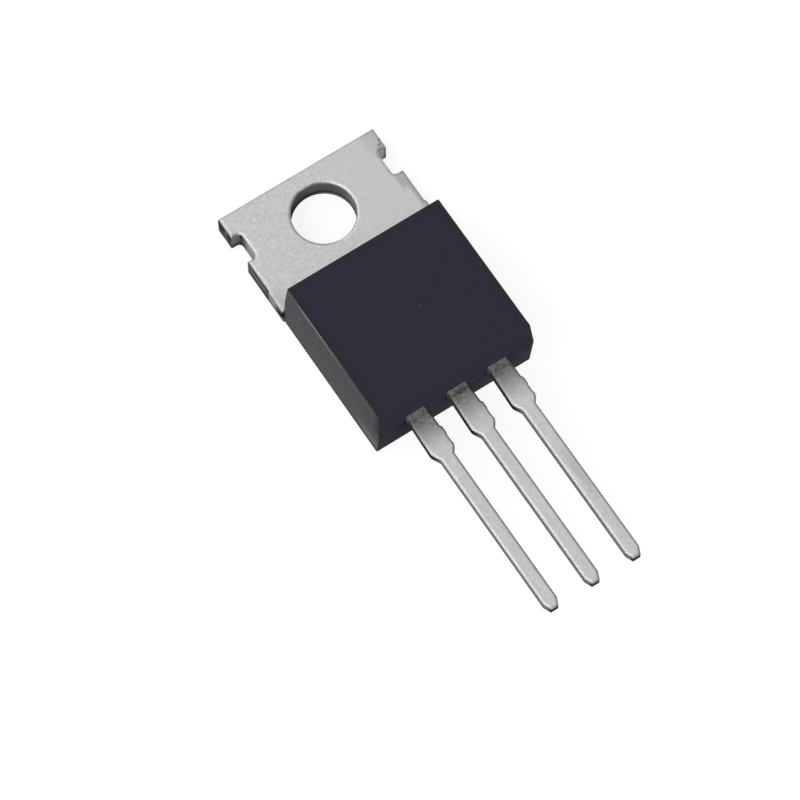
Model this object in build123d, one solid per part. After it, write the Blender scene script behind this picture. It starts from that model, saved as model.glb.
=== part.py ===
from build123d import *
from math import radians, tan
import os

# Power mosfet in a TO-220AB package, lying on its back.
# Millimetres. Origin: the mounting hole's axis on the back face of the tab.
# +Z leaves the front of the package, +Y points to the free end of the tab,
# the leads point along -Y, and the gate is on the -X side.

# ---- heat-sink tab ---------------------------------------------------------
tab_thickness = 1.36
tab_width = 9.85
tab_end = 2.765             # hole axis to the free end
hole_diameter = 3.54
edge_break = 0.09           # slope that the punch leaves round the front face and the hole
notch_depth = 0.58          # the pair of notches in the long sides
notch_length = 1.64
notch_centre = 0.645        # from the hole axis towards the free end
notch_radius = 0.25         # in the two inner corners of a notch
lip_width = 0.08            # metal squeezed sideways where the tab is clamped
lip_length = 1.42           # from the body towards the hole
lip_depth = 0.70            # measured down from the tab's front face

# ---- die pad, the same copper inside the body -------------------------------
pad_length = 5.95           # from the body's tab end, on the back face
pad_back_width = 8.20       # copper left bare on the back
pad_ledge = 0.35            # step all round that the epoxy grips
pad_ledge_height = 0.60
lock_groove_width = 0.50    # vee groove across the pad, against moisture
lock_groove_from_body = 0.55

# ---- moulded body ----------------------------------------------------------
body_start = -3.64          # where the tab-end face meets the tab's front
body_end = -12.80           # lead-end face at the parting line
body_width = 9.74           # at the parting line
body_front = 4.51           # height of the front face
body_corner = 0.08          # radius of the upright edges
body_edge = 0.07            # radius round the front face
tab_end_draft = 4.2
lead_end_draft_front = 7.0
lead_end_draft_back = 4.8
side_draft_front = 4.3
side_draft_back = 0.5

# ---- leads -----------------------------------------------------------------
lead_pitch = 2.54
lead_thickness = 0.515
lead_height = 2.93          # front face of the leads above the back face
lead_width = 0.83           # the long thin stretch
lead_length = 12.88         # from the body's lead-end face to the tip
lead_edge_break = 0.07
blade_width = 1.23          # the wide stretch next to the body
blade_length = 2.97
blade_flare = 0.075         # the blade widens by this much on the free side
shoulder_run = 0.51         # length of the slope from the blade to the thin stretch
shoulder_radius = 0.45
shoulder_foot_radius = 0.15
dam_width = 0.085           # stump of the cut dam bar, on the +X side
dam_start = 1.28            # from the body to the stump
dam_length = 0.50
dam_ramp = 0.14             # slopes at both ends of the stump
dam_waist = 0.045           # the blade stays this much wider between the stump and the nib
nib_width = 0.075           # second, shorter stump, next to the thin stretch
nib_start = 0.65            # from the end of the blade
nib_end = 0.45
nib_foot = 0.26
tip_length = 0.44
tip_width = 0.45
blade_embed = 0.95          # blade inside the body, up to its post
lock_notch_radius = 0.20    # half-round notches that key the blade in the epoxy

# ---- posts and neck inside the body ----------------------------------------
post_width = 2.20
post_length = 1.45
post_shift = 0.36           # posts sit further out than their leads
post_radius = 0.25
neck_width = 1.80
neck_bend_radius = 0.45
neck_rise_length = 1.15
neck_run = 0.26             # flat stretch between the pad and the rise

# ---- chip, solder and bond wires -------------------------------------------
die_length = 3.60
die_width = 4.60
die_thickness = 0.25
die_centre_from_body = 3.30
solder_thickness = 0.05
solder_margin = 0.10
source_wire_diameter = 0.38
gate_wire_diameter = 0.15
wire_squash = 0.60          # centre height of a bonded foot, in wire radii
wire_foot = 0.55
wire_top = 3.55             # centre height of the loops above the back face
source_wire_spacing = 0.90
wire_rise = 1.30            # run of the slope that leaves the chip
wire_fall = 0.60            # run of the slope that reaches the post
wire_shoulder = 0.70        # part of a slope's height that its steep half climbs
source_pad_x = 0.60         # bonding places, from the chip's centre
source_pad_y = -0.30
gate_pad_x = 1.70
gate_pad_y = 1.20

# ---- worked out ------------------------------------------------------------
lead_back = lead_height - lead_thickness
parting_height = lead_height - lead_thickness / 2
pad_end = body_start - pad_length
blade_root = body_end + blade_embed
die_centre = body_start - die_centre_from_body
die_bottom = tab_thickness + solder_thickness
die_top = die_bottom + die_thickness
post_centre = blade_root + post_length / 2


def slope(height, angle):
    """Sideways travel of a face with this draft over this height."""
    return height * tan(radians(angle))


def slab(outline, bottom, top):
    """A flat outline made solid between two heights."""
    return extrude(Pos(0, 0, bottom) * outline, top - bottom)


def break_front_edges(solid, size, joins_at):
    """Slopes the edges of a stamping's front face, apart from the one that joins the rest."""
    front = solid.faces().filter_by(Axis.Z).sort_by(Axis.Z)[-1]
    edges = [edge for edge in front.edges() if abs(edge.center().Y - joins_at) > 1e-4]
    return chamfer(edges, size)


# ---- moulded body ----------------------------------------------------------
def body_section(height):
    """Level outline of the body: every side leans in, away from the parting line."""
    above = max(height - parting_height, 0)
    below = max(parting_height - height, 0)
    half_width = body_width / 2 - slope(above, side_draft_front) - slope(below, side_draft_back)
    tab_side = body_start - slope(height - tab_thickness, tab_end_draft)
    lead_side = body_end + slope(above, lead_end_draft_front) + slope(below, lead_end_draft_back)
    outline = RectangleRounded(2 * half_width, tab_side - lead_side, body_corner)
    return Pos(0, (tab_side + lead_side) / 2, height) * outline


def body_block():
    """The epoxy's outside, as the two mould halves leave it."""
    levels = [body_section(height) for height in (0, parting_height, body_front)]
    block = loft(levels, ruled=True)
    front = block.faces().sort_by(Axis.Z)[-1]
    return fillet(front.edges(), body_edge)


# ---- drain frame -----------------------------------------------------------
def tab():
    """The bare tab: a punched plate with its hole, notches and squeezed lips."""
    plate = Pos(0, (tab_end + body_start) / 2) * Rectangle(tab_width, tab_end - body_start)
    notch = RectangleRounded(2 * notch_depth, notch_length, notch_radius)
    for side in (-1, 1):
        plate -= Pos(side * tab_width / 2, notch_centre) * notch
    plate -= Circle(hole_diameter / 2)
    solid = slab(plate, 0, tab_thickness)
    for side in (-1, 1):
        solid += slab(lip(side), tab_thickness - lip_depth, tab_thickness)
    return break_front_edges(solid, edge_break, body_start)


def lip(side):
    """Outline of the metal pushed out sideways in front of the body."""
    inner = side * (tab_width / 2 - lip_width)
    edge = side * tab_width / 2
    outer = side * (tab_width / 2 + lip_width)
    far = body_start + lip_length
    points = [
        (inner, body_start),
        (outer, body_start),
        (outer, far - 2 * lip_width),
        (edge, far),
        (inner, far),
    ]
    return make_face(Polyline(*points, close=True))


def die_pad():
    """The heat-sink plate inside the body, wider at the front so that the epoxy keys under it."""
    back = Rectangle(pad_back_width, pad_length)
    wide = Rectangle(pad_back_width + 2 * pad_ledge, pad_length + pad_ledge)
    back_at = Pos(0, body_start - pad_length / 2)
    wide_at = Pos(0, body_start - (pad_length + pad_ledge) / 2)
    pad = slab(back_at * back, 0, pad_ledge_height) + slab(wide_at * wide, pad_ledge_height, tab_thickness)
    half = lock_groove_width / 2
    vee = make_face(Polyline((-half, 0), (half, 0), (0, -half), close=True))
    groove_at = (0, body_start - lock_groove_from_body, tab_thickness)
    groove_plane = Plane(groove_at, x_dir=(0, 1, 0), z_dir=(1, 0, 0))
    return pad - extrude(groove_plane * vee, pad_back_width, both=True)


def neck():
    """The strip that rises from the pad to the height of the leads."""
    low = tab_thickness - lead_thickness / 2
    foot = pad_end - pad_ledge - neck_run
    path = FilletPolyline(
        (pad_end, low),
        (foot, low),
        (foot - neck_rise_length, parting_height),
        (blade_root, parting_height),
        radius=neck_bend_radius,
    )
    strip = trace(path, lead_thickness)
    return extrude(Plane.YZ * strip, neck_width / 2, both=True)


def drain_frame():
    """Tab, pad, neck and centre lead: one piece of copper."""
    return tab() + die_pad() + neck() + lead_strip(0)


# ---- leads -----------------------------------------------------------------
def lead_outline():
    """Plan of a lead from its root in the body to its tip, about its own centre line."""
    wide = blade_width / 2
    stump = wide + dam_width
    waist = wide + dam_waist
    nib = wide + nib_width
    thin = lead_width / 2
    tip = tip_width / 2
    stump_start = body_end - dam_start
    stump_end = stump_start - dam_length
    blade_end = body_end - blade_length
    tip_end = body_end - lead_length
    corners = [
        (wide, blade_root, 0),
        (wide, stump_start, 0),
        (stump, stump_start - dam_ramp, 0),
        (stump, stump_end, 0),
        (waist, stump_end - dam_ramp, 0),
        (waist, blade_end + nib_start, 0),
        (nib, blade_end + (nib_start + nib_end) / 2, 0),
        (nib, blade_end + nib_end, 0),
        (wide, blade_end + nib_foot, 0),
        (thin, blade_end, 0),
        (thin, tip_end + tip_length, 0),
        (tip, tip_end, 0),
        (-tip, tip_end, 0),
        (-thin, tip_end + tip_length, 0),
        (-thin, blade_end, shoulder_foot_radius),
        (-wide - blade_flare, blade_end + shoulder_run, shoulder_radius),
        (-wide, body_end, 0),
        (-wide, blade_root, 0),
    ]
    points = [(x, y) for x, y, radius in corners]
    radii = [radius for x, y, radius in corners]
    return make_face(FilletPolyline(*points, radius=radii, close=True))


def lead_strip(centre):
    """A flat lead at its height, keyed in the epoxy by two half-round notches."""
    strip = slab(lead_outline(), lead_back, lead_height)
    strip = break_front_edges(strip, lead_edge_break, blade_root)
    for side in (-1, 1):
        notch = Pos(side * blade_width / 2, body_end + blade_embed / 2) * Circle(lock_notch_radius)
        strip -= slab(notch, lead_back, lead_height)
    return Pos(centre, 0) * strip


def outer_lead(side):
    """Gate or source lead: a strip with a bonding post at its hidden end."""
    post = RectangleRounded(post_width, post_length, post_radius)
    post_at = Pos(side * (lead_pitch + post_shift), post_centre)
    return lead_strip(side * lead_pitch) + slab(post_at * post, lead_back, lead_height)


# ---- chip, solder and wires ------------------------------------------------
def silicon_die():
    """The chip, sawn square, face up on its solder."""
    return slab(Pos(0, die_centre) * Rectangle(die_width, die_length), die_bottom, die_top)


def die_solder():
    """The solder under the chip, which spreads a little past it."""
    outline = Rectangle(die_width + 2 * solder_margin, die_length + 2 * solder_margin)
    return slab(Pos(0, die_centre) * outline, tab_thickness, die_bottom)


def bond_wire(start, finish, diameter):
    """A wire loop from the chip to a post, in an upright plane, with both feet on the metal."""
    along = Vector(*finish) - Vector(*start)
    run = along.length
    radius = diameter / 2
    low = die_top + wire_squash * radius
    high = lead_height + wire_squash * radius
    half_foot = wire_foot / 2
    rise_bend = half_foot + wire_rise / 2
    fall_bend = run - half_foot - wire_fall / 2
    loop = Polyline(
        (-half_foot, low),
        (half_foot, low),
        (rise_bend, low + wire_shoulder * (wire_top - low)),
        (half_foot + wire_rise, wire_top),
        (run - half_foot - wire_fall, wire_top),
        (fall_bend, high + wire_shoulder * (wire_top - high)),
        (run - half_foot, high),
        (run + half_foot, high),
    )
    upright = Plane(start, x_dir=along, z_dir=along.cross(Vector(0, 0, 1)))
    path = upright * loop
    section = Plane(path @ 0, z_dir=path % 0) * Circle(radius)
    return sweep(section, path, transition=Transition.RIGHT)


def source_wires(seats):
    """The two thick wires side by side, flattened where they are bonded."""
    wires = []
    for offset in (-source_wire_spacing / 2, source_wire_spacing / 2):
        start = (source_pad_x + offset, die_centre + source_pad_y, 0)
        finish = (lead_pitch + post_shift + offset, post_centre, 0)
        wires.append(bond_wire(start, finish, source_wire_diameter) - seats)
    return wires


def gate_wire(seats):
    """The single thin wire to the gate post."""
    start = (-gate_pad_x, die_centre - gate_pad_y, 0)
    finish = (-lead_pitch - post_shift, post_centre, 0)
    return bond_wire(start, finish, gate_wire_diameter) - seats


def package():
    """All the pieces by name; the epoxy fills what the others leave."""
    pieces = {
        "drain_frame": drain_frame(),
        "gate_lead": outer_lead(-1),
        "source_lead": outer_lead(1),
        "silicon_die": silicon_die(),
        "die_solder": die_solder(),
    }
    seats = pieces["silicon_die"] + pieces["gate_lead"] + pieces["source_lead"]
    pieces["gate_bond_wire"] = gate_wire(seats)
    for number, wire in enumerate(source_wires(seats), start=1):
        pieces[f"source_bond_wire_{number}"] = wire
    body = body_block()
    for piece in list(pieces.values()):
        body -= piece
    pieces["mould_body"] = body
    return pieces


os.makedirs("parts", exist_ok=True)
for name, piece in package().items():
    export_step(piece, f"parts/{name}.step")
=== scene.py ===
import math

import bpy
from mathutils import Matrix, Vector


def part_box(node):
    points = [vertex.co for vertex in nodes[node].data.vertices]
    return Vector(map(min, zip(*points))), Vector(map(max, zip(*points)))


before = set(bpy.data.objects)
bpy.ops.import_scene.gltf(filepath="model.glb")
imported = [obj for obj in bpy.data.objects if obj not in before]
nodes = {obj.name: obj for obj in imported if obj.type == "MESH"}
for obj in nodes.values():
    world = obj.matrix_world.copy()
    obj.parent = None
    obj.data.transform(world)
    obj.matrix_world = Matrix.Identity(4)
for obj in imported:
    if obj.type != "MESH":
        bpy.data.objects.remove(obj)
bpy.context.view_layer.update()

MM = 0.001


def box_mm(node):
    """Lowest and highest corners of a CAD node, in millimetres."""
    low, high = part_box(node)
    return low / MM, high / MM


BODY_LOW, BODY_HIGH = box_mm("mould_body")
GATE_LOW, GATE_HIGH = box_mm("gate_lead")
LEAD_ROOT = BODY_LOW.y
LEAD_PITCH = 2.54

# ---------------------------------------------------------------- camera
CAMERA_AZIMUTH = -33.260
CAMERA_ELEVATION = 67.498
CAMERA_DISTANCE = 231.236 * MM
CAMERA_TARGET = Vector((-2.550, -11.301, 1.5)) * MM
CAMERA_LENS = 198.957
SENSOR_WIDTH = 36.0
CLIP_NEAR, CLIP_FAR = 0.01, 20.0


def direction(azimuth, elevation):
    """Unit vector from the object towards an azimuth and elevation; azimuth 0 is the -Y side."""
    a, e = math.radians(azimuth), math.radians(elevation)
    return Vector((math.sin(a) * math.cos(e), -math.cos(a) * math.cos(e), math.sin(e)))


def aim(obj, back):
    """Turns a camera or lamp so that it looks along the opposite of back."""
    obj.rotation_mode = "QUATERNION"
    obj.rotation_quaternion = (-back).to_track_quat("-Z", "Y")


def make_camera():
    data = bpy.data.cameras.new("camera")
    data.sensor_width = SENSOR_WIDTH
    data.lens = CAMERA_LENS
    data.clip_start = CLIP_NEAR
    data.clip_end = CLIP_FAR
    cam = bpy.data.objects.new("camera", data)
    bpy.context.scene.collection.objects.link(cam)
    back = direction(CAMERA_AZIMUTH, CAMERA_ELEVATION)
    cam.location = CAMERA_TARGET + back * CAMERA_DISTANCE
    aim(cam, back)
    bpy.context.scene.camera = cam


# ---------------------------------------------------------------- node helpers
BEVEL_SAMPLES = 6
SPOT_EDGE, SPOT_CORE = 1.0, 0.1     # squared distance from a spot's centre, with its edge at 1


class Nodes:
    """Short calls for building a shader tree."""

    def __init__(self, tree):
        self.tree = tree
        tree.nodes.clear()

    def add(self, kind, **settings):
        node = self.tree.nodes.new(kind)
        for key, value in settings.items():
            setattr(node, key, value)
        return node

    def feed(self, socket, value):
        """A link if value is a socket, otherwise the socket's own number or colour."""
        if isinstance(value, bpy.types.NodeSocket):
            self.tree.links.new(value, socket)
        else:
            socket.default_value = value

    def math(self, operation, a, b=0.0, c=0.0):
        node = self.add("ShaderNodeMath", operation=operation)
        for socket, value in zip(node.inputs, (a, b, c)):
            self.feed(socket, value)
        return node.outputs[0]

    def times(self, *values):
        total = values[0]
        for value in values[1:]:
            total = self.math("MULTIPLY", total, value)
        return total

    def plus(self, *values):
        total = values[0]
        for value in values[1:]:
            total = self.math("ADD", total, value)
        return total

    def size(self, value):
        return self.math("ABSOLUTE", value)

    def rest(self, mask):
        """1 where the mask is 0 and 0 where it is 1."""
        return self.math("SUBTRACT", 1.0, mask)

    def vary(self, start, *terms):
        """start plus weight * (pattern - 0.5) for each (pattern, weight)."""
        total = start
        for pattern, weight in terms:
            total = self.math("MULTIPLY_ADD", self.math("SUBTRACT", pattern, 0.5), weight, total)
        return total

    def ramp(self, value, low, high, to_low=0.0, to_high=1.0):
        """value from low..high to to_low..to_high, smoothly, and held at both ends."""
        node = self.add("ShaderNodeMapRange", interpolation_type="SMOOTHSTEP")
        names = ("Value", "From Min", "From Max", "To Min", "To Max")
        for name, number in zip(names, (value, low, high, to_low, to_high)):
            self.feed(node.inputs[name], number)
        return node.outputs["Result"]

    def within(self, value, low, high, soft):
        """1 between low and high, with soft ends."""
        return self.times(self.ramp(value, low - soft, low + soft), self.ramp(value, high + soft, high - soft))

    def noise(self, vector, scale, detail=3.0, roughness=0.5):
        node = self.add("ShaderNodeTexNoise")
        for name, value in (("Vector", vector), ("Scale", scale), ("Detail", detail), ("Roughness", roughness)):
            self.feed(node.inputs[name], value)
        return node.outputs["Fac"]

    def stretch(self, vector, factors):
        node = self.add("ShaderNodeVectorMath", operation="MULTIPLY")
        self.feed(node.inputs[0], vector)
        node.inputs[1].default_value = factors
        return node.outputs[0]

    def spot(self, x, y, centre, length, width, turn=0.0):
        """1 inside an ellipse on the xy plane, falling to 0 at its edge."""
        dx, dy = self.math("SUBTRACT", x, centre[0]), self.math("SUBTRACT", y, centre[1])
        c, s = math.cos(math.radians(turn)), math.sin(math.radians(turn))
        along = self.plus(self.times(dx, c / length), self.times(dy, s / length))
        across = self.plus(self.times(dx, -s / width), self.times(dy, c / width))
        square = self.plus(self.times(along, along), self.times(across, across))
        return self.ramp(square, SPOT_EDGE, SPOT_CORE)

    def mix(self, factor, a, b):
        """Colour a where factor is 0 and b where it is 1."""
        node = self.add("ShaderNodeMix", data_type="RGBA")
        colours = [socket for socket in node.inputs if socket.type == "RGBA"]
        self.feed(node.inputs["Factor"], factor)
        self.feed(colours[0], a)
        self.feed(colours[1], b)
        return [socket for socket in node.outputs if socket.type == "RGBA"][0]

    def blend(self, factor, a, b):
        """Number a where factor is 0 and b where it is 1."""
        node = self.add("ShaderNodeMix", data_type="FLOAT")
        self.feed(node.inputs["Factor"], factor)
        self.feed(node.inputs["A"], a)
        self.feed(node.inputs["B"], b)
        return node.outputs["Result"]

    def scale(self, vector, factor):
        node = self.add("ShaderNodeVectorMath", operation="SCALE")
        self.feed(node.inputs[0], vector)
        self.feed(node.inputs["Scale"], factor)
        return node.outputs[0]

    def split(self, vector):
        node = self.add("ShaderNodeSeparateXYZ")
        self.feed(node.inputs[0], vector)
        return node.outputs

    def tint(self, level, red=1.0, green=1.0, blue=1.0):
        """A grey level as a colour, with each channel scaled."""
        node = self.add("ShaderNodeCombineColor")
        for socket, factor in zip(node.inputs, (red, green, blue)):
            self.feed(socket, self.times(level, factor))
        return node.outputs[0]

    def bump(self, height, strength, distance, normal=None):
        node = self.add("ShaderNodeBump")
        node.inputs["Strength"].default_value = strength
        node.inputs["Distance"].default_value = distance
        self.feed(node.inputs["Height"], height)
        if normal is not None:
            self.feed(node.inputs["Normal"], normal)
        return node.outputs["Normal"]

    def rounded(self, radius):
        """World normal of the surface as if its edges were rolled over by the radius, in metres."""
        node = self.add("ShaderNodeBevel", samples=BEVEL_SAMPLES)
        node.inputs["Radius"].default_value = radius
        return node.outputs["Normal"]

    def to_object(self, normal):
        node = self.add("ShaderNodeVectorTransform", vector_type="NORMAL", convert_from="WORLD", convert_to="OBJECT")
        self.feed(node.inputs[0], normal)
        return node.outputs[0]


def new_material(name):
    material = bpy.data.materials.new(name)
    material.use_nodes = True
    return material, Nodes(material.node_tree)


def grey(level):
    return (level, level, level, 1.0)


def object_mm(n):
    """Object coordinates in millimetres, and the outward normal in the object's frame."""
    coords = n.add("ShaderNodeTexCoord")
    scaled = n.stretch(coords.outputs["Object"], (1 / MM,) * 3)
    return scaled, coords.outputs["Normal"]


def close_with(n, colour, roughness, metallic, normal, specular=0.5, matt=None):
    """Ends the tree in a Principled shader, which gives way to a plain Diffuse one where matt is 1."""
    shader = n.add("ShaderNodeBsdfPrincipled")
    n.feed(shader.inputs["Base Color"], colour)
    n.feed(shader.inputs["Roughness"], roughness)
    n.feed(shader.inputs["Metallic"], metallic)
    n.feed(shader.inputs["Normal"], normal)
    shader.inputs["Specular IOR Level"].default_value = specular
    surface = shader.outputs[0]
    if matt is not None:
        diffuse = n.add("ShaderNodeBsdfDiffuse")
        n.feed(diffuse.inputs["Color"], colour)
        n.feed(diffuse.inputs["Normal"], normal)
        both = n.add("ShaderNodeMixShader")
        n.feed(both.inputs[0], matt)
        n.feed(both.inputs[1], surface)
        n.feed(both.inputs[2], diffuse.outputs[0])
        surface = both.outputs[0]
    output = n.add("ShaderNodeOutputMaterial")
    n.tree.links.new(surface, output.inputs["Surface"])


# ---------------------------------------------------------------- tin plate
# Lengths are in millimetres and tones are linear greys. A pair is the two ends of a ramp, or the two values that it
# runs between. A noise is its scale per millimetre, its detail and its roughness.
LEAD_BLEND = 0.4                    # half of the length over which the tab's looks change into the leads'
TIN = 0.59                          # clean satin plate

# grain of the flat plate, with its depth
FINE, FINE_DEPTH = (5.0, 4.0, 0.62), 0.17
FLECKS, FLECK_DEPTH = (14.0, 2.0), 0.09
CLOUDS, CLOUD_DEPTH = (1.6, 2.0), 0.03
SPECKS, SPECK_LEVELS, SPECK_DEPTH = (8.0, 2.0), (0.62, 0.74), 0.06
PATCHES, PATCH_CONTRAST = (0.9, 2.0), 1.6
PATCH_LEVELS, PATCH_GRAIN = (0.30, 1.0), (0.6, 1.9)
SMOOTH_TO_GRAINY = (3.2, 0.6)       # across the tab
ROLLING_STRETCH, ROLLING = (7.0, 0.6, 7.0), (1.0, 3.0)
ROLLING_REACH, ROLLING_DEPTH = (0.8, 2.4), (0.02, 0.12)

# darkening of the leads towards the body, by the distance from it
ROOT_DARK_EDGE, ROOT_DARK_WANDER = (2.2, 3.0), 0.5
ROOT_DARK_REACH, ROOT_DARK_TONES = (0.20, 2.75), (0.30, 1.0)
MOTTLE_REACH = (1.7, 0.3)
COARSE_MOTTLE, COARSE_DEPTH = (4.5, 3.0, 0.7), 0.50
SMALL_MOTTLE, SMALL_DEPTH = (9.0, 3.0, 0.7), 0.60
RIM_REACH, RIM_NOISE, RIM_LEVELS, RIM_LIFT = (0.30, 0.12), (3.5, 2.0), (0.40, 0.60), 0.16
STAIN, STAIN_TONE = ((0.03, LEAD_ROOT - 0.28), 0.50, 0.17), 0.50
DULL_STREAK = ((LEAD_PITCH + 0.08, -20.2), 0.25, 2.2)
DULL_LEVELS, DULL_RANGE, DULL_TONE = (0.35, 0.65), (0.5, 1.0), 0.82

# scuffs on the tab: ellipses as (centre, length, width, turn in degrees) with their depth, and wider rubs
SCUFF_SPOTS = (
    (((4.82, 2.00), 0.20, 0.10, 60), 0.55),
    (((4.68, 1.75), 0.20, 0.13, 20), 0.55),
    (((4.60, 1.56), 0.25, 0.14, 0), 0.28),
    (((4.42, -0.75), 0.42, 0.07, 100), 0.28),
)
RUB_X, RUB_Y, RUB_DEPTH = (4.22, 4.42), (-1.15, 0.2, 0.25), 0.25
LOW_RUB_START_Y, LOW_RUB_START_X, LOW_RUB_END_X = (-0.6, -1.6), (4.30, 4.55), 4.75
LOW_RUB_Y, LOW_RUB_RANGE, LOW_RUB_DEPTH = (-0.3, -0.9), (0.6, 1.0), 0.24
BLOTCH_X, BLOTCH_Y, BLOTCH_END_Y, BLOTCH_DEPTH = (-3.9, -4.5), (-1.9, -2.9), (LEAD_ROOT, LEAD_ROOT + 1.0), 0.12
HAZE_X, HAZE_Y, HAZE_DEPTH = (3.7, 4.4), (1.0, 1.6), 0.15


def plate_tone(n, place, x, y, on_lead, from_root):
    """Grey of the flat faces: mottled satin plate that grows darker towards the lead roots."""
    cloud = n.noise(place, *CLOUDS)
    # the right of the tab is smoother; elsewhere the grain comes in patches with pale specks
    patch = n.vary(n.ramp(x, *SMOOTH_TO_GRAINY), (n.noise(place, *PATCHES), PATCH_CONTRAST))
    patch = n.blend(on_lead, n.ramp(patch, *PATCH_LEVELS, *PATCH_GRAIN), 1.0)
    fine = (n.noise(place, *FINE), n.times(patch, FINE_DEPTH))
    fleck = (n.noise(place, *FLECKS), n.times(patch, FLECK_DEPTH))
    tone = n.vary(TIN, fine, fleck, (cloud, CLOUD_DEPTH))
    away = n.vary(from_root, (n.noise(place, *ROOT_DARK_EDGE), ROOT_DARK_WANDER))
    rolling = n.noise(n.stretch(place, ROLLING_STRETCH), *ROLLING)
    tone = n.vary(tone, (rolling, n.times(on_lead, n.ramp(away, *ROLLING_REACH, *ROLLING_DEPTH))))
    specks = n.ramp(n.noise(place, *SPECKS), *SPECK_LEVELS)
    tone = n.math("MULTIPLY_ADD", specks, n.times(patch, SPECK_DEPTH), tone)
    at_root = n.ramp(away, *MOTTLE_REACH)
    coarse = (n.noise(place, *COARSE_MOTTLE), n.times(at_root, COARSE_DEPTH))
    small = (n.noise(place, *SMALL_MOTTLE), n.times(at_root, SMALL_DEPTH))
    lead_tone = n.vary(n.ramp(away, *ROOT_DARK_REACH, *ROOT_DARK_TONES), coarse, small)
    # epoxy flash leaves a paler rim against the body, and a dark stain inside it on the drain
    rim = n.times(n.ramp(from_root, *RIM_REACH), n.ramp(n.noise(place, *RIM_NOISE), *RIM_LEVELS))
    lead_tone = n.plus(lead_tone, n.times(rim, RIM_LIFT))
    lead_tone = n.times(lead_tone, n.blend(n.spot(x, y, *STAIN), 1.0, STAIN_TONE))
    # the source leg is duller along its middle
    dull = n.times(n.spot(x, y, *DULL_STREAK), n.ramp(cloud, *DULL_LEVELS, *DULL_RANGE))
    lead_tone = n.times(lead_tone, n.blend(dull, 1.0, DULL_TONE))
    return n.times(tone, n.blend(on_lead, 1.0, lead_tone))


def scuffs(n, x, y):
    """Darkening by the tab's scuffs: chips and haze at the right ear, rubs below it, and a blotch low on the left."""
    marks = [(n.spot(x, y, *ellipse), depth) for ellipse, depth in SCUFF_SPOTS]
    marks.append((n.times(n.ramp(x, *RUB_X), n.within(y, *RUB_Y)), RUB_DEPTH))
    low_start = n.ramp(y, *LOW_RUB_START_Y, *LOW_RUB_START_X)
    low_rub = n.times(n.ramp(x, low_start, LOW_RUB_END_X), n.ramp(y, *LOW_RUB_Y, *LOW_RUB_RANGE))
    marks.append((low_rub, LOW_RUB_DEPTH))
    blotch = n.times(n.ramp(x, *BLOTCH_X), n.ramp(y, *BLOTCH_Y), n.ramp(y, *BLOTCH_END_Y))
    marks.append((blotch, BLOTCH_DEPTH))
    marks.append((n.times(n.ramp(x, *HAZE_X), n.ramp(y, *HAZE_Y)), HAZE_DEPTH))
    dark = 0.0
    for mark, depth in marks:
        dark = n.math("MAXIMUM", dark, n.times(mark, depth))
    return dark


# punched side faces: bands of smooth shear and torn metal, whose dark tones are a painted reflection of the dark
# surroundings that they face
BAND_STRETCH, BANDS, BAND_WANDER = (1.1, 1.1, 0.5), (1.0, 3.0), 0.5
TORN_TONE = 0.085
SHEAR_BAND, SHEAR_TONE = (0.56, 0.96, 0.10), 0.20
TOP_BAND, TOP_TONE = (1.0, 1.1), 0.066
BEFORE_LIP, BEFORE_LIP_RANGE = (-1.85, -2.05), (1.0, 0.65)
EAR_Y, SCALLOP_Y = (1.2, 1.4), (1.85, 2.12, 0.12)
EAR_TEAR_START, EAR_TEAR_FULL = (0.70, 1.15), (0.95, 1.30)      # heights outside and inside the scallop
EAR_TONES, EAR_TORN_TONE = (0.078, 0.13), 0.026                 # outside and inside the scallop
# painted light on the far end's side faces, which the lamps light weakly
FAR_END_Y, FAR_END_LIGHT_GAIN = (2.4, 2.6), 1.9
LIP_Y, LIP_HEIGHT, LIP_TONES = (-2.10, -2.45), (1.0, 1.32), (0.27, 0.52)
CORNER_Y, CORNER_TOP, CORNER_TONE = (-3.02, -3.25), (1.36, 1.15), 0.03
CORNER_FOOT, CORNER_FOOT_RANGE = (0.35, 0.70), (0.4, 1.0)
NOTCH_SIDE_X, NOTCH_SIDE_Y, NOTCH_SIDE_TONE = (4.6, 4.5), (1.25, 0.6), 0.38
NOTCH_END_Y, NOTCH_END_HEIGHT, NOTCH_END_TONES = (1.25, 2.1, 0.05), (0.25, 0.5), (0.13, 0.27)
NOTCH_CORNER_X, NOTCH_CORNER_RANGE = (4.35, 4.62), (0.5, 1.0)
WORN_START_X, WORN_END_X, WORN_X, WORN_TONES = (4.0, 4.3), (4.80, 4.74), (4.40, 4.55), (0.50, 0.40)
WORN_SHINE = (0.25, 0.45)
FACES_LEFT, FACES_RIGHT, FACES_FAR, FACES_ALONG = (-0.5, -0.8), (0.5, 0.8), (0.5, 0.8), (0.6, 0.8)
# painted light on the side faces that face right, which the lamps light less
RIGHT_LIGHT_GAIN = 1.2

# wall of the screw hole, by X: a base tone and the painted light and shade added to it by how the wall faces the
# lamps, and by height: a black band low down and painted floor light at its foot
HOLE_RADIUS = 1.77
BORE_REACH = (HOLE_RADIUS + 0.3, HOLE_RADIUS + 0.2)
BORE_TONE = 0.02
BORE_SHADES = ((0.2, 1.3, 0.0, -0.05), (1.66, 1.78, 0.0, 0.06), (-1.6, -0.6, 0.06, 0.19))
BORE_DARK_HEIGHT, BORE_DARK_TONE = (0.50, 0.36), 0.07
BORE_LIT_FOOT_HEIGHT, BORE_LIT_FOOT_TONE = (0.26, 0.14), 0.30

# sides of the leads, by the distance from the body, dark as a painted reflection of dark surroundings, with painted
# shade at the cut tip
STUMP_REACH, STUMP_TONES = (1.1, 1.6), (0.055, 0.015)
LEG_REACH, LEG_TONE = (2.5, 3.05), 0.21
TIP_REACH, TIP_SHADE_TONE = (12.70, 12.80), 0.05
CUT_STRETCH, CUT_GRAIN = (3.0, 3.0, 8.0), (1.0, 3.0)
TAB_CUT_DEPTH, LEAD_CUT_DEPTH = 0.7, 0.25


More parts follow.
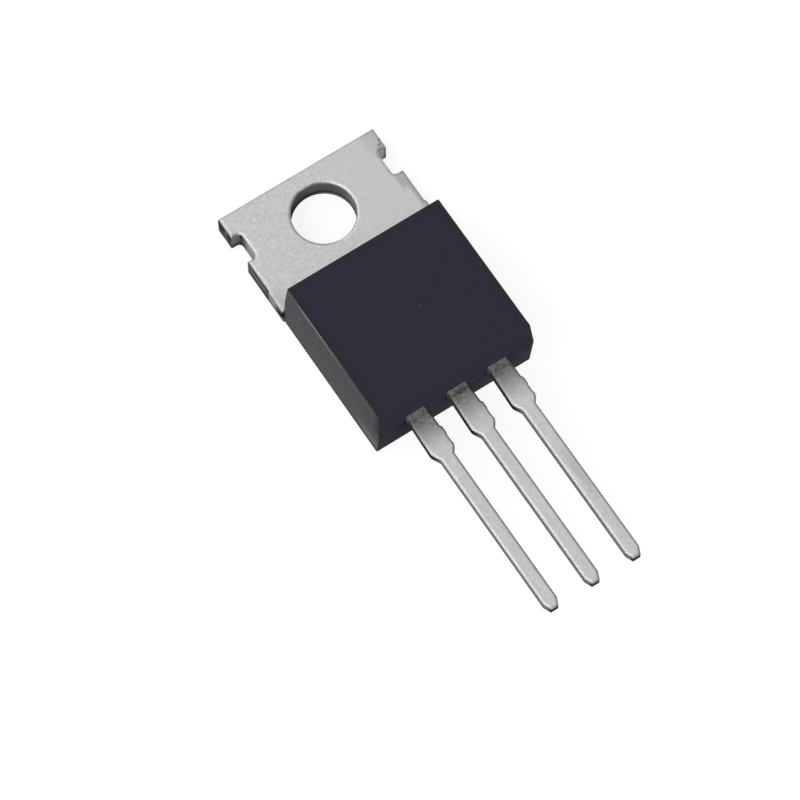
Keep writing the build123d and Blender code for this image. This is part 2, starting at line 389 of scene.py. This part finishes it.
def bore_tone(n, x, z):
    """Grey of the hole's wall: dark, black towards its foot but for painted floor light at the very bottom, and
    painted paler on the side that faces the light.
    """
    tone = n.plus(BORE_TONE, *(n.ramp(x, *shade) for shade in BORE_SHADES))
    tone = n.blend(n.ramp(z, *BORE_DARK_HEIGHT), tone, BORE_DARK_TONE)
    return n.blend(n.ramp(z, *BORE_LIT_FOOT_HEIGHT), tone, BORE_LIT_FOOT_TONE)


def lead_cut_tone(n, from_root):
    """Grey of a lead's sides: black beside the blade, dark grey along the leg, and painted shade at the cut tip;
    these dark tones paint the reflection of dark surroundings.
    """
    tone = n.ramp(from_root, *LEG_REACH, n.ramp(from_root, *STUMP_REACH, *STUMP_TONES), LEG_TONE)
    return n.blend(n.ramp(from_root, *TIP_REACH), tone, TIP_SHADE_TONE)


def tab_cut_tone(n, place, x, y, z, normal, wall, worn):
    """Grey of the tab's punched sides, ears, lips and notches, kept dark as a painted reflection of dark
    surroundings.
    """
    wave = n.noise(n.stretch(place, BAND_STRETCH), *BANDS)
    height = n.vary(z, (wave, BAND_WANDER))
    tone = n.blend(n.within(height, *SHEAR_BAND), TORN_TONE, SHEAR_TONE)
    tone = n.blend(n.ramp(height, *TOP_BAND), tone, TOP_TONE)
    tone = n.times(tone, n.ramp(y, *BEFORE_LIP, *BEFORE_LIP_RANGE))
    # the left ear is torn darker, with one paler scallop
    scallop = n.within(y, *SCALLOP_Y)
    torn = n.ramp(z, n.blend(scallop, *EAR_TEAR_START), n.blend(scallop, *EAR_TEAR_FULL))
    ear_tone = n.blend(torn, n.blend(scallop, *EAR_TONES), EAR_TORN_TONE)
    ear = n.times(n.ramp(y, *EAR_Y), n.ramp(normal[0], *FACES_LEFT))
    tone = n.blend(ear, tone, ear_tone)
    # painted light on the far end's side faces, which the lamps light weakly
    far_end_lit = n.times(n.ramp(y, *FAR_END_Y), n.ramp(normal[1], *FACES_FAR))
    tone = n.times(tone, n.blend(far_end_lit, 1.0, FAR_END_LIGHT_GAIN))
    # past the lip the punched side is clean, up to the dark corner at the body
    tone = n.blend(n.ramp(y, *LIP_Y), tone, n.ramp(z, *LIP_HEIGHT, *LIP_TONES))
    corner = n.times(n.ramp(y, *CORNER_Y), n.ramp(z, *CORNER_TOP), n.ramp(z, *CORNER_FOOT, *CORNER_FOOT_RANGE))
    tone = n.blend(corner, tone, CORNER_TONE)
    beside = n.size(x)
    notch_side = n.times(n.ramp(beside, *NOTCH_SIDE_X), n.ramp(y, *NOTCH_SIDE_Y))
    tone = n.blend(notch_side, tone, NOTCH_SIDE_TONE)
    wall_tone = n.blend(worn, n.ramp(z, *NOTCH_END_HEIGHT, *NOTCH_END_TONES), n.ramp(x, *WORN_X, *WORN_TONES))
    wall_tone = n.times(wall_tone, n.ramp(beside, *NOTCH_CORNER_X, *NOTCH_CORNER_RANGE))
    return n.blend(wall, tone, wall_tone)


def cut_tone(n, place, x, y, z, normal, on_lead, from_root):
    """Grey of all side faces, with painted light on those that face right, where the worn notch shines, and where the
    hole's wall is.
    """
    wall = n.times(n.ramp(n.size(normal[1]), *FACES_ALONG), n.within(y, *NOTCH_END_Y))
    worn = n.times(n.ramp(x, *WORN_START_X), n.ramp(x, *WORN_END_X))
    radius = n.math("SQRT", n.plus(n.times(x, x), n.times(y, y)))
    bore = n.ramp(radius, *BORE_REACH)
    tone = n.blend(bore, tab_cut_tone(n, place, x, y, z, normal, wall, worn), bore_tone(n, x, z))
    tone = n.blend(on_lead, tone, lead_cut_tone(n, from_root))
    # painted light on the side faces that face right
    right = n.times(n.ramp(normal[0], *FACES_RIGHT), n.rest(bore))
    tone = n.times(tone, n.blend(right, 1.0, RIGHT_LIGHT_GAIN))
    grain = n.noise(n.stretch(place, CUT_STRETCH), *CUT_GRAIN)
    tone = n.times(tone, n.vary(1.0, (grain, n.blend(on_lead, TAB_CUT_DEPTH, LEAD_CUT_DEPTH))))
    return tone, n.times(wall, worn, n.ramp(z, *WORN_SHINE)), bore


# edges that punching rolled over; slopes are components of the rounded normal. Their tone is painted shade and light
# by which way each edge faces: darkest on the leads' right edges and the steep left-facing zone, lightest where an
# edge faces left into the key lamp or steeply right
ROLL_RADIUS = 0.19
ROLL_SLOPE, ROLL_SIDEWAYS = (0.992, 0.94), (0.05, 0.20)
AHEAD_ROLL, AHEAD_BORE_ROLL = 0.75, 0.0      # edges that run across the object, outside the hole and in it
ROLL_PAINTED_SHADE, LIT_ROLL_PAINTED_SHADE = 0.50, 0.68     # painted shade against the plate beside it, and less of it on the left, where the edges face the key lamp
LIT_SLOPE, LEAD_RIGHT_SLOPE, LEAD_RIGHT_SHADE = (-0.05, -0.20), (0.05, 0.25), 0.30
RIGHT_SLOPE, RIGHT_ROLL = (0.35, 0.60), 0.3
LEFT_SLOPE, TAB_LEFT_SHADE, LEAD_LEFT_SHADE = (-0.33, -0.62), 0.42, 0.76
OUTER_X, OUTER_Y = (4.60, 4.75), (-0.15, -0.3)
SIDE_SLOPE = (0.35, 0.15)
SATIN, SATIN_LEVELS, SATIN_ROUGHNESS, CUT_ROUGHNESS = (9.0, 4.0, 0.6), (0.3, 0.7), (0.34, 0.46), 0.6
CUT_MATT, SHINE_MATT = 1.0, 0.38            # how much of the metallic shine the side faces lose
BLUE_CAST, BLUE_LEVELS, BLUE_RANGE = (0.45, 2.0), (0.50, 0.62), (1.0, 1.012)
SATIN_BUMP, SATIN_BUMP_HEIGHT = 0.2, 0.008 * MM


def tin_material():
    """Satin tin plate over punched copper, with painted shade and light on its rolled edges and side faces."""
    material, n = new_material("tin_plate")
    place, facing = object_mm(n)
    x, y, z = n.split(place)
    normal = n.split(facing)
    from_root = n.math("SUBTRACT", LEAD_ROOT, y)
    on_lead = n.ramp(y, LEAD_ROOT + LEAD_BLEND, LEAD_ROOT - LEAD_BLEND)
    soft_normal = n.rounded(ROLL_RADIUS * MM)
    soft = n.split(n.to_object(soft_normal))
    side = n.ramp(n.size(normal[2]), *SIDE_SLOPE)
    cut, shine, bore = cut_tone(n, place, x, y, z, normal, on_lead, from_root)
    sideways = n.ramp(n.size(soft[0]), *ROLL_SIDEWAYS, n.blend(bore, AHEAD_ROLL, AHEAD_BORE_ROLL), 1.0)
    right_slope = n.times(n.ramp(soft[0], *RIGHT_SLOPE), n.ramp(y, LEAD_ROOT - LEAD_BLEND, LEAD_ROOT + LEAD_BLEND))
    roll = n.times(n.ramp(n.size(soft[2]), *ROLL_SLOPE), sideways, n.blend(right_slope, 1.0, RIGHT_ROLL))
    outer = n.math("MAXIMUM", n.ramp(n.size(x), *OUTER_X), n.ramp(y, *OUTER_Y))
    left_slope = n.times(n.ramp(soft[0], *LEFT_SLOPE), n.rest(bore), outer)
    lead_right = n.times(on_lead, n.ramp(soft[0], *LEAD_RIGHT_SLOPE))
    roll_shade = n.blend(lead_right, n.ramp(soft[0], *LIT_SLOPE, ROLL_PAINTED_SHADE, LIT_ROLL_PAINTED_SHADE), LEAD_RIGHT_SHADE)
    left_shade = n.blend(on_lead, TAB_LEFT_SHADE, LEAD_LEFT_SHADE)
    tone = n.times(plate_tone(n, place, x, y, on_lead, from_root), n.rest(scuffs(n, x, y)))
    # painted shade and light on the rolled edges, by which way they face
    tone = n.times(tone, n.blend(roll, 1.0, roll_shade), n.blend(left_slope, 1.0, left_shade))
    tone = n.blend(side, tone, cut)
    grain = n.noise(place, *SATIN)
    roughness = n.blend(side, n.ramp(grain, *SATIN_LEVELS, *SATIN_ROUGHNESS), CUT_ROUGHNESS)
    metallic = n.rest(n.times(side, n.blend(shine, CUT_MATT, SHINE_MATT)))
    blue = n.ramp(n.noise(place, *BLUE_CAST), *BLUE_LEVELS, *BLUE_RANGE)
    colour = n.tint(tone, blue=n.blend(on_lead, blue, 1.0))
    bumped = n.bump(grain, SATIN_BUMP, SATIN_BUMP_HEIGHT, soft_normal)
    close_with(n, colour, roughness, metallic, bumped, specular=0.0)
    return material


# ---------------------------------------------------------------- epoxy
PARTING_HEIGHT = (GATE_LOW.z + GATE_HIGH.z) / 2
NAVY = (0.0228, 0.0210, 0.0350, 1)
WARM_BLACK = (0.0210, 0.0206, 0.0236, 1)
SIDE_GREY = (0.0675, 0.0675, 0.0735, 1)
EPOXY_ROUGHNESS, EPOXY_SPECULAR = 0.62, 0.05
EPOXY_BUMP, EPOXY_BUMP_HEIGHT = 0.25, 0.01 * MM
EPOXY_GRAIN, EPOXY_GRAIN_DEPTH = (14.0, 4.0, 0.6), 0.12

# the bluish front fades to a warmer black near the edges
DRIFT, MARGIN_WANDER, HEIGHT_WANDER = (1.3, 3.0), 1.1, 0.9
MARGIN, BLUE_HEIGHT, END_BLUE = (0.15, 0.75), (0.7, 2.0), 0.6

# long sides: a painted highlight along the left side's top edge, which faces the key lamp, and a paler wedge at its
# lead end
FLANK_SLOPE, LEFT_HALF = (0.4, 0.7), (0.1, -0.1)
FLANK_GRAIN, FLANK_GRAIN_DEPTH = (3.6, 4.0, 0.65), 0.9
TOP_EDGE_HEIGHT, TOP_EDGE_Y = (BODY_HIGH.z - 0.34, BODY_HIGH.z - 0.12), (-10.6, -6.4)
TOP_EDGE_START_Y, TOP_EDGE_START, TOP_EDGE_HIGHLIGHT = (-4.6, -5.4), (0.15, 1.0), 1.4
WEDGE, WEDGE_LIFT = ((-12.1, 0.95), 1.9, 0.55), 0.9       # an ellipse in Y and Z
DARK_CORNER_Y, DARK_CORNER_HEIGHT, DARK_CORNER_TONE = (-12.15, -12.55), (2.2, 3.0), 0.5
# painted contact shade along the foot of the long sides
FOOT_SHADE_HEIGHT, FOOT_SHADE_TONE = (0.50, 0.15), 0.5

# painted light evens out the lead end, where the leads and the lamps' places leave it in shade; it is strongest low
# down between the leads
END_SLOPE, END_X, END_LIGHT_GAIN = (-0.65, -0.85), (3.8, 4.6), (1.5, 1.59)
END_FOOT_HEIGHT = (PARTING_HEIGHT + 0.02, PARTING_HEIGHT - 0.02)
BETWEEN_LEADS_X, SIDE_FOOT_LIGHT_GAIN, MIDDLE_FOOT_LIGHT_GAIN = (2.6, 2.5), 1.22, 1.6
END_FOOT_FADE, END_FOOT_RANGE = (2.5, 1.2), (1.0, 1.33)

# one pale speck with a faint smudge on the front
SPECK, SPECK_TONE = ((0.55, -8.44), 0.11, 0.07, 50), 2.2
SPECK_HEIGHT = (BODY_HIGH.z - 0.1, BODY_HIGH.z - 0.05)
SMUDGE, SMUDGE_NOISE, SMUDGE_WEIGHT, SMUDGE_TONE = ((0.75, -8.30), 0.55, 0.25, 20), (5.0, 2.0), 0.5, 0.8


def epoxy_shade(n, place, x, y, z, grain, flank, end_face):
    """What the epoxy's colour is multiplied by, with painted light on the lead end and along the left side's top
    edge, and painted contact shade along the sides' foot.
    """
    shade = n.vary(1.0, (grain, EPOXY_GRAIN_DEPTH), (n.noise(place, *FLANK_GRAIN), n.times(flank, FLANK_GRAIN_DEPTH)))
    across = n.size(x)
    # painted light on the lead end, stronger below the leads' level
    end_foot = n.times(end_face, n.ramp(z, *END_FOOT_HEIGHT))
    foot_light = n.blend(n.ramp(across, *BETWEEN_LEADS_X), SIDE_FOOT_LIGHT_GAIN, MIDDLE_FOOT_LIGHT_GAIN)
    foot_light = n.times(foot_light, n.ramp(z, *END_FOOT_FADE, *END_FOOT_RANGE))
    shade = n.times(shade, n.blend(end_foot, 1.0, foot_light))
    shade = n.times(shade, n.blend(end_face, 1.0, n.ramp(across, *END_X, *END_LIGHT_GAIN)))
    # painted contact shade along the foot of the long sides
    shade = n.times(shade, n.blend(n.times(flank, n.ramp(z, *FOOT_SHADE_HEIGHT)), 1.0, FOOT_SHADE_TONE))
    top_edge_highlight = n.times(n.ramp(z, *TOP_EDGE_HEIGHT), n.ramp(y, *TOP_EDGE_Y),
                       n.ramp(y, *TOP_EDGE_START_Y, *TOP_EDGE_START))
    # painted highlight along the left side's top edge, and a paler wedge at its lead end
    worn = n.math("MAXIMUM", n.times(top_edge_highlight, TOP_EDGE_HIGHLIGHT), n.times(n.spot(y, z, *WEDGE), WEDGE_LIFT))
    shade = n.times(shade, n.plus(1.0, n.times(flank, n.ramp(x, *LEFT_HALF), worn)))
    corner = n.times(flank, n.ramp(y, *DARK_CORNER_Y), n.ramp(z, *DARK_CORNER_HEIGHT))
    shade = n.times(shade, n.blend(corner, 1.0, DARK_CORNER_TONE))
    speck = n.times(n.spot(x, y, *SPECK), n.ramp(z, *SPECK_HEIGHT))
    smudge = n.times(n.spot(x, y, *SMUDGE), n.noise(place, *SMUDGE_NOISE), SMUDGE_WEIGHT)
    return n.times(shade, n.blend(speck, 1.0, SPECK_TONE), n.blend(smudge, 1.0, SMUDGE_TONE))


def epoxy_material():
    """Matte moulding compound: bluish black faces with warmer margins, grey mould-worn sides, and painted light and
    shade on the lead end, the left side's top edge and the sides' foot.
    """
    material, n = new_material("epoxy")
    place, facing = object_mm(n)
    x, y, z = n.split(place)
    normal = n.split(facing)
    grain = n.noise(place, *EPOXY_GRAIN)
    drift = n.noise(place, *DRIFT)
    flank = n.ramp(n.size(normal[0]), *FLANK_SLOPE)
    end_face = n.ramp(normal[1], *END_SLOPE)
    from_side = n.math("SUBTRACT", BODY_HIGH.x, n.size(x))
    from_start = n.math("SUBTRACT", BODY_HIGH.y, y)
    margin = n.vary(n.math("MINIMUM", from_side, from_start), (drift, MARGIN_WANDER))
    blue = n.times(n.ramp(margin, *MARGIN), n.ramp(n.vary(z, (drift, HEIGHT_WANDER)), *BLUE_HEIGHT))
    blue = n.times(blue, n.blend(end_face, 1.0, END_BLUE))
    colour = n.mix(flank, n.mix(blue, WARM_BLACK, NAVY), SIDE_GREY)
    colour = n.scale(colour, epoxy_shade(n, place, x, y, z, grain, flank, end_face))
    bumped = n.bump(grain, EPOXY_BUMP, EPOXY_BUMP_HEIGHT)
    close_with(n, colour, EPOXY_ROUGHNESS, 0.0, bumped, specular=EPOXY_SPECULAR, matt=end_face)
    return material


# ---------------------------------------------------------------- hidden pieces
PLAIN_GRAIN = (6.0, 3.0)
PLAIN_BUMP, PLAIN_BUMP_HEIGHT = 0.2, 0.005 * MM


def plain_material(name, low, high, roughness, metallic):
    """A grey that varies between two levels, for the pieces inside the epoxy."""
    material, n = new_material(name)
    place, _ = object_mm(n)
    grain = n.noise(place, *PLAIN_GRAIN)
    colour = n.mix(grain, grey(low), grey(high))
    close_with(n, colour, roughness, metallic, n.bump(grain, PLAIN_BUMP, PLAIN_BUMP_HEIGHT))
    return material


def dress(names, material):
    for name in names:
        mesh = nodes[name].data
        mesh.materials.clear()
        mesh.materials.append(material)


# ---------------------------------------------------------------- light and floor
FLOOR_SHADE = 0.15          # what the floor returns of the lamps' light
FLOOR_WHITE = 0.875         # its own white, which camera, glossy and transmission rays see
FLOOR_HALF = 1.5
FLOOR_DROP = 0.02 * MM      # keeps the floor clear of the object's flat back
WORLD_AMBIENT = 0.40
LAMP_AIM = Vector((0, -11 * MM, 0))


def background_shader(n, strength):
    """Strength of the white that camera, glossy and transmission rays see."""
    path = n.add("ShaderNodeLightPath")
    seen = n.math("MAXIMUM", path.outputs["Is Camera Ray"], path.outputs["Is Glossy Ray"])
    seen = n.math("MAXIMUM", seen, path.outputs["Is Transmission Ray"])
    return n.math("MULTIPLY", seen, strength)


def make_floor():
    corners = [(-FLOOR_HALF, -FLOOR_HALF, 0), (FLOOR_HALF, -FLOOR_HALF, 0),
               (FLOOR_HALF, FLOOR_HALF, 0), (-FLOOR_HALF, FLOOR_HALF, 0)]
    mesh = bpy.data.meshes.new("floor")
    mesh.from_pydata(corners, [], [(0, 1, 2, 3)])
    floor = bpy.data.objects.new("floor", mesh)
    floor.location.z = -FLOOR_DROP
    bpy.context.scene.collection.objects.link(floor)
    material, n = new_material("floor_white")
    diffuse = n.add("ShaderNodeBsdfDiffuse")
    diffuse.inputs["Color"].default_value = grey(FLOOR_SHADE)
    glow = n.add("ShaderNodeEmission")
    n.feed(glow.inputs["Strength"], background_shader(n, FLOOR_WHITE))
    both = n.add("ShaderNodeAddShader")
    n.tree.links.new(diffuse.outputs[0], both.inputs[0])
    n.tree.links.new(glow.outputs[0], both.inputs[1])
    output = n.add("ShaderNodeOutputMaterial")
    n.tree.links.new(both.outputs[0], output.inputs["Surface"])
    mesh.materials.append(material)


def make_world():
    world = bpy.data.worlds.new("studio")
    world.use_nodes = True
    bpy.context.scene.world = world
    n = Nodes(world.node_tree)
    background = n.add("ShaderNodeBackground")
    lift = background_shader(n, 1.0 - WORLD_AMBIENT)
    n.feed(background.inputs["Strength"], n.plus(lift, WORLD_AMBIENT))
    output = n.add("ShaderNodeOutputWorld")
    n.tree.links.new(background.outputs[0], output.inputs["Surface"])


def softbox(name, azimuth, elevation, distance, width, height, watts, mirrored=True):
    """A rectangular area lamp, in metres and degrees; the metal reflects it only if mirrored."""
    data = bpy.data.lights.new(name, "AREA")
    data.shape = "RECTANGLE"
    data.size, data.size_y = width, height
    data.energy = watts
    lamp = bpy.data.objects.new(name, data)
    bpy.context.scene.collection.objects.link(lamp)
    back = direction(azimuth, elevation)
    lamp.location = LAMP_AIM + back * distance
    aim(lamp, back)
    lamp.visible_glossy = mirrored


# ---------------------------------------------------------------- scene
make_camera()
make_world()
make_floor()
softbox("key", azimuth=-85, elevation=52, distance=0.8, width=0.85, height=0.52, watts=4.6)
softbox("back", azimuth=-153, elevation=30, distance=0.8, width=0.9, height=0.4, watts=2.7)
# the low front lamp would glare in the metal seen from behind
softbox("fill", azimuth=12, elevation=24, distance=0.9, width=0.9, height=0.5, watts=5.2, mirrored=False)

dress(["drain_frame", "gate_lead", "source_lead"], tin_material())
dress(["mould_body"], epoxy_material())
dress(["silicon_die"], plain_material("silicon", low=0.10, high=0.16, roughness=0.25, metallic=0.3))
dress(["die_solder"], plain_material("solder", low=0.30, high=0.42, roughness=0.5, metallic=1.0))
wires = ["gate_bond_wire", "source_bond_wire_1", "source_bond_wire_2"]
dress(wires, plain_material("bond_wire", low=0.75, high=0.85, roughness=0.35, metallic=1.0))

bpy.context.scene.view_settings.view_transform = "Standard"
